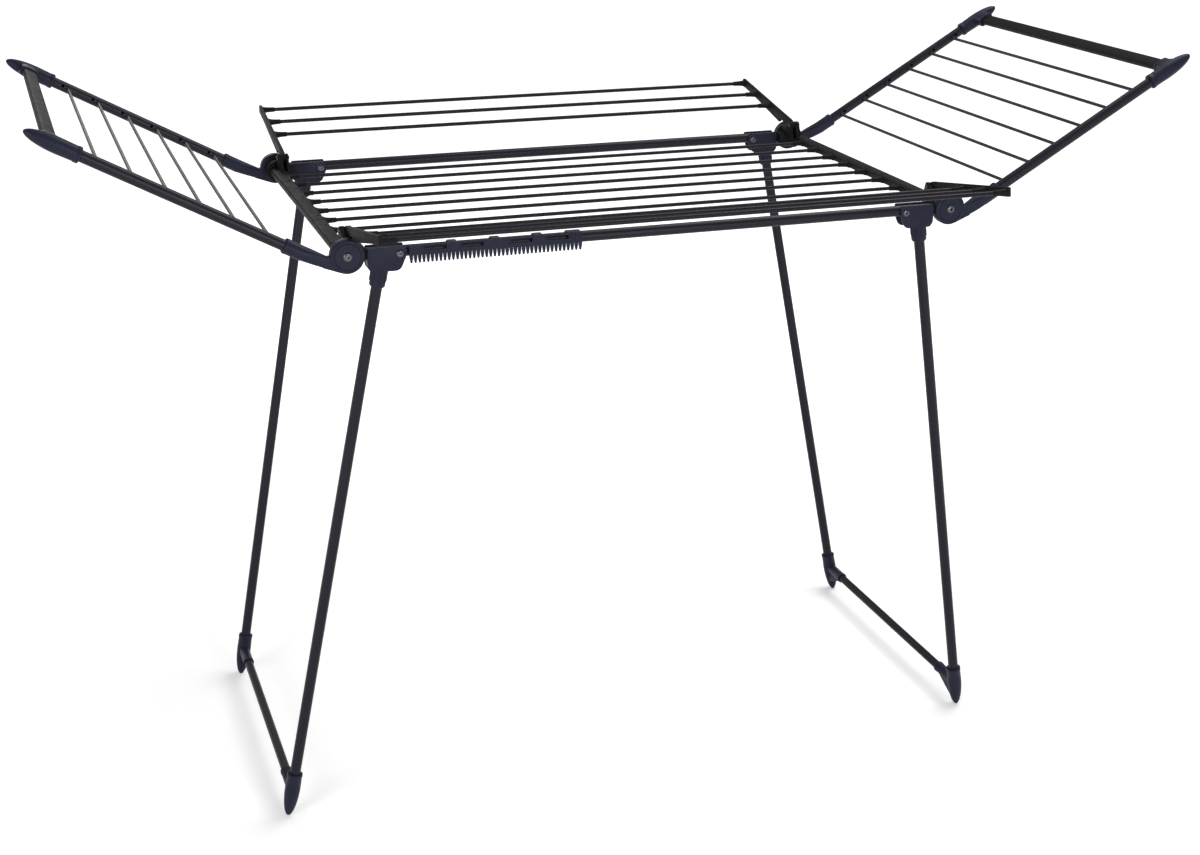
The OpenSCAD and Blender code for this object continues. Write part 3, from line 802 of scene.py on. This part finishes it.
@dataclass
class Wing:
    """One raised wing: side tubes, rods, end bar, end caps and hinge arms."""

    hinges: Hinges
    side: Side
    tilts: Pair = (28.5, 30.5)
    drop: float = 22.0
    tube_y: float = 288.0
    rod_radius: float = 2.5
    rod_first: float = 101.5
    rod_pitch: float = 49.3
    rod_count: int = 6
    knuckle_radius: float = 24.0
    knuckle_near: float = 285.2
    knuckle_far: float = 299.2
    sleeve_radius: float = 10.6
    neck_start: float = 22.0
    neck_end: float = 58.0
    sleeve_end: float = 84.0
    bore_start: float = 48.0
    cap_radius: float = 11.35
    cap_start: float = 372.0
    cap_nose: float = 46.0
    reach: float = 447.9
    bar_width: float = 20.0
    bar_depth: float = 10.0
    bar_s: float = 412.0

    @property
    def body(self) -> str:
        """Name of the body that the wing moves as."""
        return f"{self.side.word}_wing"

    def place(self) -> Matrix:
        """Returns the transform from the wing's own frame to the rack's."""
        left, right = self.tilts
        tilt = left if self.side is Side.LEFT else right
        return at(*self.hinges.wing) @ turn(-tilt, "Y")

    def build(self) -> None:
        """Builds every piece of the wing."""
        for row in Row:
            dress(f"{self.body}_{row.word}_tube", POWDER_COAT)
        half = self.tube_y - 4.0
        places = (
            at(self.rod_first + k * self.rod_pitch, -half, -self.drop) @ ALONG_Y
            for k in range(self.rod_count)
        )
        middle = quarter(self.side, Row.REAR) @ self.place()
        rods = rod_set(self.rod_radius, 2 * half, places).moved(middle)
        rods.replacing(f"{self.body}_rods", ROD_COAT, self.body, "coated")
        bar = self.end_bar().moved(middle)
        bar.replacing(f"{self.body}_end_bar", GREY_MOULDING, self.body)
        for row in Row:
            placed = quarter(self.side, row) @ self.place()
            for part, made in (("cap", self.cap()), ("arm", self.arm())):
                node = f"{self.body}_{row.word}_{part}"
                made.moved(placed).replacing(node, NAVY_MOULDING, self.body)

    def end_bar(self) -> Solid:
        """Builds the flat end bar."""
        half = self.tube_y - 10.0
        outline = round_rect(self.bar_width, self.bar_depth, 3.5)
        return side_slab(outline, -half, half).moved(at(self.bar_s, 0, -self.drop))

    def cap(self) -> Solid:
        """Builds the end cap with the socket of the end bar."""
        radius, start, length = self.cap_radius, self.cap_start, self.cap_nose
        nose = arc((0.0, 0.0), 1.0, 0.0, 90.0, 14)
        collar = [(radius, start + 1.0), (radius, start + 6.0), (radius - 0.6, start + 7.0)]
        point = [(radius * x, self.reach - length + length * y) for x, y in nose[:-1]]
        body = Solid.turned(
            [(0, start), (radius - 1.0, start), *collar, *point, (0, self.reach)]
        ).moved(ALONG_X)
        half_s, half_h = self.bar_width / 2 + 2.6, self.bar_depth / 2 + 2.5
        flare = (
            (0.0, 5.0, 1.6, 3.0), (10.0, 3.0, 1.2, 3.0), (16.0, 1.2, 0.4, 3.4),
            (21.0, 0.2, 0.0, 3.8), (21.6, 0.8, 0.6, 3.8), (26.0, 0.8, 0.6, 3.8),
            (26.8, 0.0, -0.2, 3.8),
        )
        rings = [((x, 0.0, 0.0), half_s + s, half_h + h, power) for x, s, h, power in flare]
        body.plus(Solid.loft(rings).moved(at(self.bar_s, 0, 0) @ turn(-90, "Z")))
        bore = Solid.rod(TUBE_BORE, start - 1, start + 25).moved(ALONG_X)
        mouth = round_rect(self.bar_width + 2 * FIT, self.bar_depth + 2 * FIT, 3.55)
        slot = side_slab(mouth, -30.0, -9.9).moved(at(self.bar_s, 0, 0))
        return body.minus(bore, slot).moved(at(0, self.tube_y, -self.drop))

    def low_edge(self, s: float) -> float:
        """Lower edge of the strap, on the common tangent of knuckle and sleeve.

        Args:
            s: Distance from the hinge.

        Returns:
            The height of the edge in the wing's own frame.
        """
        end = (self.neck_end, -self.drop - self.sleeve_radius)
        angle = math.atan2(end[1], end[0]) - math.acos(self.knuckle_radius / math.hypot(*end))
        return (self.knuckle_radius - s * math.cos(angle)) / math.sin(angle)

    def neck(self) -> Solid:
        """Builds the strap that runs from the knuckle into the tube sleeve."""
        near, far = self.knuckle_near, self.knuckle_far - 1.6
        top = self.sleeve_radius - self.drop
        rings = []
        steps = 12
        for k in range(steps + 1):
            t = k / steps
            s = self.neck_start * (1 - t) + self.neck_end * t
            ease = t * t * (3 - 2 * t)
            low = self.low_edge(s)
            inner = near + (self.tube_y - self.sleeve_radius - near) * ease
            outer = far + (self.tube_y + self.sleeve_radius - far) * ease
            centre = (s, (inner + outer) / 2, (low + top) / 2)
            rings.append((centre, (outer - inner) / 2, (top - low) / 2, 5.0 - 3.0 * ease))
        return Solid.loft(rings)

    def arm(self) -> Solid:
        """Builds the hinge arm: knuckle, strap and tube sleeve."""
        near, far = self.knuckle_near, self.knuckle_far
        radius, thick = self.knuckle_radius, far - near
        rim = ((0.0, 2.2), (0.4, 1.2), (1.2, 0.4), (2.2, 0.0))
        groove = ((4.4, 0.0), (5.0, 0.7), (5.8, 0.7), (6.4, 0.0))
        face = [(radius - inset, thick - depth) for inset, depth in rim + groove]
        disc = Solid.turned([(0, 0), (radius - 0.8, 0), (radius, 0.8), *face, (0, thick)], 72)
        strap_s, strap_top = self.neck_start + 2, self.sleeve_radius - self.drop
        strap = [(strap_s, self.low_edge(strap_s)), (strap_s, strap_top)]
        fillet = side_slab(
            [(0.0, 0.0), (-3.4, -23.7), (0.0, self.low_edge(0.0)), *strap, (18.0, -9.0)],
            near,
            far - 1.6,
        )
        outer, end = self.sleeve_radius, self.sleeve_end
        collar = ((0.0, 6.0), (-0.4, 5.4), (-0.4, 1.4), (0.3, 0.3), (1.2, 0.0))
        mouth = [(outer - inset, end - depth) for inset, depth in collar]
        root = [(0, self.neck_end - 2), (outer - 0.1, self.neck_end - 2), (outer, self.neck_end)]
        tube = at(0, self.tube_y, -self.drop) @ ALONG_X
        sleeve = Solid.turned([*root, *mouth, (0, end)], 40).moved(tube)
        made = disc.moved(at(0, near, 0) @ ALONG_Y).plus(fillet, self.neck(), sleeve)
        bore = Solid.rod(TUBE_BORE, self.bore_start, 100)
        pin = Solid.rod(WING_PIN_BORE, 0, 30, 32)
        return made.minus(bore.moved(tube), pin.moved(at(0, near - 8, 0) @ ALONG_Y))


@dataclass
class Flap:
    """One narrow side flap: two flat arms with flared sockets, and three rods."""

    hinges: Hinges
    row: Row
    tilt: float = 10.0
    inner: float = 446.5
    outer: float = 451.5
    under: float = 6.3
    over: float = 7.3
    web: float = 9.5
    brace: float = 13.0
    eye_radius: float = 5.75
    tip: float = 6.0
    rod_radius: float = 3.1
    rod_end: float = 446.5
    rod_first: float = 102.0
    rod_pitch: float = 59.0
    socket_length: float = 20.0
    socket_halves: Triple = (10.0, 10.0, 6.0)

    @property
    def body(self) -> str:
        """Name of the body that the flap moves as."""
        return f"{self.row.word}_flap"

    def build(self) -> None:
        """Builds every piece of the flap."""
        place = at(0, self.hinges.flap.y, self.hinges.flap.z) @ turn(self.tilt, "X")
        places = (at(-self.rod_end, y, 0) @ ALONG_X for y in self.rod_rows())
        rods = rod_set(self.rod_radius, 2 * self.rod_end, places)
        rods.moved(quarter(Side.RIGHT, self.row) @ place)
        rods.replacing(f"{self.body}_rods", ROD_COAT, self.body, "coated")
        for side in Side:
            arm = self.arm().moved(quarter(side, self.row) @ place)
            arm.replacing(f"{self.body}_{side.word}_arm", GREY_MOULDING, self.body)

    def rod_rows(self) -> list[float]:
        """Returns the distance of every rod from the hinge."""
        return [self.rod_first + k * self.rod_pitch for k in range(len(self.socket_halves))]

    def arm(self) -> Solid:
        """Builds the right arm of the rear flap in its own frame."""
        rows = self.rod_rows()
        tip = rows[-1] + self.tip
        outline = [
            *arc((0.0, 0.0), self.eye_radius, 90.0, 270.0, 24),
            *((5.0, -self.web), (30.0, -self.web), (33.5, -self.under), (50.5, -self.under)),
            *((53.0, -self.brace), (180.0, -self.under)),
            *arc((tip - 1.5, 1.5 - self.under), 1.5, -90.0, 0.0, 5),
            *arc((tip - 1.5, self.over - 1.5), 1.5, 0.0, 90.0, 5),
            (10.0, self.over),
        ]
        blade = end_slab(outline, self.inner, self.outer).bevelled(1.0, 2, 60.0)
        spots = [at(self.inner, y, 0) for y in rows]
        root = (self.under - 0.3, self.socket_length)
        sockets = [
            fan_socket(self.rod_radius, spread, *root).moved(spot)
            for spread, spot in zip(self.socket_halves, spots)
        ]
        blade.plus(*sockets)
        pin = Solid.rod(FLAP_PIN_BORE, -5, 15, 24).moved(at(self.inner, 0, 0) @ ALONG_X)
        bores = [
            Solid.rod(self.rod_radius + FIT, -21, 4, 32).moved(spot @ ALONG_X) for spot in spots
        ]
        return blade.minus(pin, *bores)


@dataclass
class LegFrame:
    """One leg frame: two leg tubes, brackets, feet and the bar between the feet."""

    hinges: Hinges
    side: Side
    splay: float = 10.8
    offset: float = 22.4
    start: float = 22.0
    rail_y: float = 286.0
    foot_y: float = 242.0
    foot_radius: float = 11.8
    foot_nose: float = 50.0
    foot_flat: float = 1.0
    foot_sleeve: float = 25.0
    bar_z: float = 45.0
    bar_radius: float = 7.0
    branch_length: float = 54.0
    straddle: float = 8.3
    plate: float = 3.3
    plate_outline: tuple[Pair, ...] = (
        (-8.5, 10), (45, 10), (46, -10), (45.5, -18),
        (41, -24), (4, -24), (-1.5, -20.5), (-8.5, -5),
    )
    web_outline: tuple[Pair, ...] = ((13, -7.6), (45, -7.6), (45, -17.5), (41, -23), (13, -23))
    socket_end: float = 52.0

    def __post_init__(self) -> None:
        """Works out the line of the leg tube."""
        tilt = math.radians(self.splay)
        self.top_x = self.hinges.leg.x + self.offset * math.cos(tilt)
        self.top_z = self.hinges.leg.z + self.offset * math.sin(tilt)
        run = self.top_z / math.cos(tilt) - self.start
        self.lean = math.atan((self.rail_y - self.foot_y) / run)
        drop = math.hypot(
            self.foot_nose * math.cos(tilt) * math.cos(self.lean),
            self.foot_radius * math.sin(tilt),
        )
        run = (self.top_z - drop + self.foot_flat) / math.cos(tilt) - self.start
        self.foot_s = run / math.cos(self.lean)

    @property
    def body(self) -> str:
        """Name of the body that the leg frame moves as."""
        return f"{self.side.word}_legs"

    def place(self) -> Matrix:
        """Returns the transform from the right rear leg's own frame to the rack's."""
        tilt = math.radians(self.splay)
        head = at(
            self.top_x + self.start * math.sin(tilt),
            self.rail_y,
            self.top_z - self.start * math.cos(tilt),
        )
        return head @ Matrix.Rotation(math.pi - tilt, 4, "Y") @ Matrix.Rotation(self.lean, 4, "X")

    def build(self) -> None:
        """Builds every piece of the leg frame."""
        word = self.side.word
        # The foot bar takes the darker coat, which is painted shade.
        dress(f"{word}_foot_bar", FOOT_COAT_PAINTED_SHADE)
        for row in Row:
            dress(f"{word}_{row.word}_leg", POWDER_COAT)
            for part, made in (("foot", self.foot()), ("bracket", self.bracket())):
                made.moved(quarter(self.side, row))
                made.replacing(f"{word}_{row.word}_{part}", NAVY_MOULDING, self.body)

    def foot(self) -> Solid:
        """Builds the right rear foot."""
        radius, length, top = self.foot_radius, self.foot_nose, -self.foot_sleeve
        nose = arc((0.0, 0.0), 1.0, 0.0, 90.0, 16)
        sleeve = self.place() @ at(0, 0, self.foot_s)
        collar = [(radius, top + 0.9), (radius, top + 5.0), (radius - 0.5, top + 6.0)]
        point = [(radius * x, length * y) for x, y in nose[:-1]]
        body = Solid.turned([(0, top), (radius - 0.9, top), *collar, *point, (0, length)])
        bar_x = self.top_x + (self.top_z - self.bar_z) * math.tan(math.radians(self.splay))
        end, outer = self.foot_y - self.branch_length, self.bar_radius + 2.2
        bar = at(bar_x, end, self.bar_z) @ ALONG_Y
        rim = [(outer - 1.0, 0), (outer, 1.0), (outer, 6.0), (outer - 0.5, 7.0)]
        root = [(outer - 0.5, self.branch_length), (0, self.branch_length)]
        branch = Solid.turned([(0, 0), *rim, *root], 40).moved(bar)
        under, far = (end + 4, self.bar_z - outer + 2), (self.foot_y, self.bar_z - 30)
        outline = [under, (end + 4, self.bar_z), (self.foot_y, self.bar_z), far]
        web = end_slab(outline, bar_x - 3.5, bar_x + 3.5).bevelled(1.2, 3)
        return body.moved(sleeve).plus(branch, web).minus(
            Solid.rod(TUBE_BORE, -60, 15.1).moved(sleeve),
            Solid.rod(self.bar_radius + FIT, -1, 42.1, 40).moved(bar),
            Solid.block((300.0, 0.0, -60.0), (900.0, 500.0, 0.0)),
        )

    def bracket(self) -> Solid:
        """Builds the right rear leg bracket."""
        pivot = self.hinges.leg
        head = at(pivot.x, 0, pivot.z)
        inner, outer = self.rail_y - self.straddle, self.rail_y + self.straddle
        plates = []
        for y0, y1 in ((inner - self.plate, inner), (outer, outer + self.plate)):
            plate = side_slab(self.plate_outline, y0, y1)
            ends = ((edge, *edge.verts) for edge in plate.bm.edges)
            across = [edge for edge, first, last in ends if abs(first.co.y - last.co.y) > 1]
            plate.bevelled(2.0, 4, edges=across).bevelled(0.7, 2, 60.0)
            plates.append(plate.moved(head))
        web = side_slab(self.web_outline, inner - 1, outer + 1).bevelled(0.8, 2)
        length = self.socket_end - self.start
        mouth = [(11.4, length - 3), (10.9, length - 1.2), (9.6, length), (0, length)]
        socket = Solid.turned([(0, 0), (12.0, 0), (11.4, length - 9), *mouth], 40)
        made = web.moved(head).plus(*plates, socket.moved(self.place()))
        ribs = [
            Solid.block((11.0, -0.9, 2.0), (12.6, 0.9, length - 8))
            .bevelled(0.5, 2)
            .moved(self.place() @ turn(angle, "Z"))
            for angle in range(0, 360, 45)
        ]
        made.plus(*ribs)
        tube = Solid.rod(TUBE_BORE, -0.1, 60).moved(self.place())
        pin = Solid.rod(LEG_PIN_BORE, 0, 40, 24)
        return made.minus(tube, pin.moved(at(pivot.x, inner - 8, pivot.z) @ ALONG_Y))


@dataclass
class SockComb:
    """The slotted comb for small items, clipped to the front rail."""

    thickness: float = 3.0
    rim: float = 1.6
    rim_height: float = 0.8
    foot: float = 884.0
    head: float = 896.0
    teeth: int = 42
    tooth_root: float = 5.3
    tooth_waist: float = 4.5
    tooth_tip: float = 2.3
    slot: Pair = (32.0, 6.0)
    slot_z: float = 890.8
    slot_pitch: float = 53.0
    pair_gap: float = 70.5
    clip: float = 12.0
    end: float = 20.0
    rail: Pair = (-286.0, 886.0)
    hook: float = 10.4
    mouth: float = 4.0
    rib_width: float = 1.8
    rib_pitch: float = 4.0
    rib_count: int = 5

    def build(self) -> None:
        """Builds the comb."""
        low, high = (Vector(corner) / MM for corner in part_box("sock_comb"))
        front = low.y + self.rim_height
        back = front + self.thickness
        middle = (low.x + high.x) / 2
        comb = side_slab(self.outline(low.x, high.x, low.z), front, back)
        reach = (self.pair_gap + self.slot_pitch) / 2
        clips = [(middle + step * reach, self.clip) for step in (-1, 0, 1)]
        clips.append((high.x - self.end / 2, self.end))
        comb.plus(*[self.hooked(x, width, back) for x, width in clips])
        places = [
            middle + side.value * (self.pair_gap / 2 + step * self.slot_pitch)
            for side, step in product(Side, (0, 1))
        ]
        comb.plus(*[self.slot_block(x, self.rim, low.y, front + 1) for x in places])
        comb.minus(*[self.slot_block(x, 0.0, low.y - 1, back + 1) for x in places])
        starts = (high.x - self.end + 2.0 + self.rib_pitch * k for k in range(self.rib_count))
        foot, head = self.foot + 0.6, self.head - 0.4
        width, near = self.rib_width, front + 1
        comb.plus(*[Solid.block((x, low.y, foot), (x + width, near, head)) for x in starts])
        comb.replacing("sock_comb", NAVY_MOULDING, "frame")

    def outline(self, x0: float, x1: float, tip: float) -> list[Pair]:
        """Outline of the plate with its tapered teeth.

        Args:
            x0: Left end of the comb.
            x1: Right end of the comb.
            tip: Height of the tips of the teeth.

        Returns:
            The points, as X and Z.
        """
        pitch = (x1 - x0 - self.tooth_root) / (self.teeth - 1)
        waist = (self.foot + tip) / 2
        steps = ((self.tooth_root, self.foot), (self.tooth_waist, waist), (self.tooth_tip, tip))
        points = [(x0, self.head)]
        for k in range(self.teeth):
            x = x0 + k * pitch + self.tooth_root / 2
            points.extend((x - width / 2, z) for width, z in steps)
            points.extend((x + width / 2, z) for width, z in reversed(steps))
        points.append((x1, self.head))
        return points

    def hooked(self, x: float, width: float, back: float) -> Solid:
        """Builds a hook that runs over the top of the rail.

        Args:
            x: Middle of the hook.
            width: Width of the hook.
            back: Rear face of the plate.

        Returns:
            The hook.
        """
        z = self.rail[1]
        lip = math.degrees(math.asin(self.mouth / self.hook))
        jaw = math.degrees(math.asin(self.mouth / TUBE_BORE))
        outline = [
            *arc(self.rail, self.hook, -lip, 90.0, 20),
            (back - 1.0, z + self.hook),
            (back - 1.0, z + 1.0),
            *arc(self.rail, TUBE_BORE, 173.0, -jaw, 32),
        ]
        return end_slab(outline, x - width / 2, x + width / 2).bevelled(0.4, 1, 60.0)

    def slot_block(self, x: float, grow: float, y0: float, y1: float) -> Solid:
        """Makes a block with the outline of a slot.

        Args:
            x: Middle of the slot.
            grow: Width of the rim that is added all round.
            y0: Near face.
            y1: Far face.

        Returns:
            The block.
        """
        half_x, half_z = self.slot[0] / 2 + grow, self.slot[1] / 2 + grow
        low = (x - half_x, y0, self.slot_z - half_z)
        return Solid.block(low, (x + half_x, y1, self.slot_z + half_z))


@dataclass
class Rivets:
    """The rivets of the wing, leg and flap hinges."""

    hinges: Hinges
    shank: float = 2.0
    head: float = 3.5
    dome: float = 1.6
    dome_angles: tuple[float, ...] = (30, 50, 70, 90)
    hollow: float = 1.2
    grip: Pair = (441.8, 459.6)

    def build(self) -> None:
        """Builds the flap rivets and dresses the others."""
        for name in ("wing_pins", "leg_pins"):
            dress(name, ZINC)
        rivets = [self.rivet().moved(quarter(side, row)) for side, row in product(Side, Row)]
        first, *others = rivets
        first.plus(*others).finished("flap_rivets", ZINC, "frame", ["flap_pins"])

    def rivet(self) -> Solid:
        """Builds the right rear flap rivet, with a ring-shaped head at either end."""
        start, end = self.grip
        length = end - start
        half = [(0, 1.0), (self.hollow, 1.0), (self.hollow, 0.4 - self.dome)]
        for angle in map(math.radians, self.dome_angles):
            half.append((self.head * math.sin(angle), -self.dome * math.cos(angle)))
        half.append((self.shank, 0.0))
        profile = half + [(radius, length - z) for radius, z in reversed(half)]
        place = at(start, self.hinges.flap.y, self.hinges.flap.z)
        return Solid.turned(profile, 24).moved(place @ ALONG_X)


# ---- studio


@dataclass
class Studio:
    """Camera, floor and soft lights.

    Attributes:
        eye: Place of the camera, in metres.
        heading: Turn of the camera from +Y towards +X, in degrees.
        pitch: Tilt of the camera, up from level, in degrees.
        roll: Roll of the camera, in degrees.
        lens: Focal length on a 36 mm sensor, in millimetres.
        shift: Lens shift along the frame's width and height.
        fade: Distances from the centre between which the floor turns white.
        glow: Light that the floor seems to give within and beyond them.
        pale: Grey of the floor.
        sky: Strength of the even light from all round.
        bowl: Radius and height along the floor and up its far rim.
        lamps: Name, place, size and power of each lamp.
        aim: Point that the lamps face.
    """

    eye: Triple = (-0.920118, -2.683718, 1.532844)
    heading: float = 17.994
    pitch: float = -21.162
    roll: float = 0.092
    lens: float = 54.9906
    shift: Pair = (0.02752, 0.022917)
    fade: Pair = (0.9, 2.6)
    glow: Pair = (0.24, 0.85)
    pale: float = 0.90
    sky: float = 0.34
    bowl: tuple[Pair, ...] = ((0.0, 0.0), (16.0, 0.0), (17.5, 0.3), (18.5, 1.2), (18.8, 3.5))
    lamps: tuple[tuple[str, Triple, float, float], ...] = (
        ("key_lamp", (1.5, 0.6, 3.3), 2.1, 66.0),
        ("front_lamp", (0.6, -4.2, 1.4), 1.5, 68.0),
        ("side_lamp", (-3.0, -2.2, 1.6), 1.2, 38.0),
        ("rear_lamp", (-0.6, 3.2, 2.4), 1.4, 18.0),
    )
    aim: Triple = (0.0, 0.0, 0.6)

    def build(self) -> None:
        """Sets up the whole studio."""
        self.camera()
        self.floor()
        self.lights()
        bpy.context.scene.view_settings.view_transform = "Standard"

    def camera(self) -> None:
        """Adds the camera."""
        data = bpy.data.cameras.new("camera")
        data.lens = self.lens
        data.sensor_width = 36.0
        data.sensor_fit = "HORIZONTAL"
        data.shift_x, data.shift_y = self.shift
        made = bpy.data.objects.new("camera", data)
        aimed = turn(-self.heading, "Z") @ turn(90 + self.pitch, "X") @ turn(self.roll, "Z")
        made.matrix_world = at(*self.eye) @ aimed
        bpy.context.scene.collection.objects.link(made)
        bpy.context.scene.camera = made

    def floor(self) -> None:
        """Adds the pale floor, which shows white but keeps the shadows."""
        bowl = Solid.turned([(radius / MM, height / MM) for radius, height in self.bowl], 64)
        made = bowl.moved(Matrix.Scale(MM, 4)).as_object("studio_floor")
        made.data.materials.append(self.floor_material())

    def floor_material(self) -> bpy.types.Material:
        """Returns the floor's material: matt, with a glow that only pictures show."""
        material = bpy.data.materials.new("studio_floor")
        material.use_nodes = True
        tree = material.node_tree
        matt = tree.nodes["Principled BSDF"]
        colour = (self.pale, self.pale, self.pale, 1.0)
        fill(matt, {"Base Color": colour, "Roughness": 0.9, "Specular IOR Level": 0.0})
        path = tree.nodes.new("ShaderNodeLightPath")
        seen = path.outputs["Is Camera Ray"]
        for name in ("Is Glossy Ray", "Is Transmission Ray"):
            either = {0: seen, 1: path.outputs[name]}
            seen = add_node(tree, "ShaderNodeMath", either, operation="MAXIMUM").outputs[0]
        place = tree.nodes.new("ShaderNodeTexCoord").outputs["Object"]
        reach = add_node(tree, "ShaderNodeVectorMath", {0: place}, operation="LENGTH")
        fade = {"Value": reach.outputs["Value"], **dict(zip(RAMP, self.fade + self.glow))}
        rise = add_node(tree, "ShaderNodeMapRange", fade, interpolation_type="SMOOTHSTEP")
        shares = {0: seen, 1: rise.outputs["Result"]}
        share = add_node(tree, "ShaderNodeMath", shares, operation="MULTIPLY").outputs[0]
        shown = {"Color": (1.0, 1.0, 1.0, 1.0), "Strength": share}
        glow = add_node(tree, "ShaderNodeEmission", shown)
        layers = {0: matt.outputs[0], 1: glow.outputs[0]}
        surface = add_node(tree, "ShaderNodeAddShader", layers).outputs[0]
        fill(tree.nodes["Material Output"], {"Surface": surface})
        return material

    def lights(self) -> None:
        """Adds the sky and the soft lamps."""
        world = bpy.data.worlds.new("studio_sky")
        world.use_nodes = True
        sky = {"Color": (1.0, 1.0, 1.0, 1.0), "Strength": self.sky}
        fill(world.node_tree.nodes["Background"], sky)
        bpy.context.scene.world = world
        for name, place, size, power in self.lamps:
            data = bpy.data.lights.new(name, "AREA")
            data.size = size
            data.energy = power
            made = bpy.data.objects.new(name, data)
            facing = (Vector(self.aim) - Vector(place)).to_track_quat("-Z", "Y")
            made.matrix_world = at(*place) @ facing.to_matrix().to_4x4()
            bpy.context.scene.collection.objects.link(made)


def main() -> None:
    """Builds the studio and the rack."""
    logging.basicConfig(level=logging.INFO, format="%(name)s: %(message)s")
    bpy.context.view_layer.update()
    Studio().build()
    hinges = Hinges()
    TopFrame(hinges).build()
    for side in Side:
        Wing(hinges, side).build()
        LegFrame(hinges, side).build()
    for row in Row:
        Flap(hinges, row).build()
    SockComb().build()
    Rivets(hinges).build()


if __name__ == "__main__":
    main()
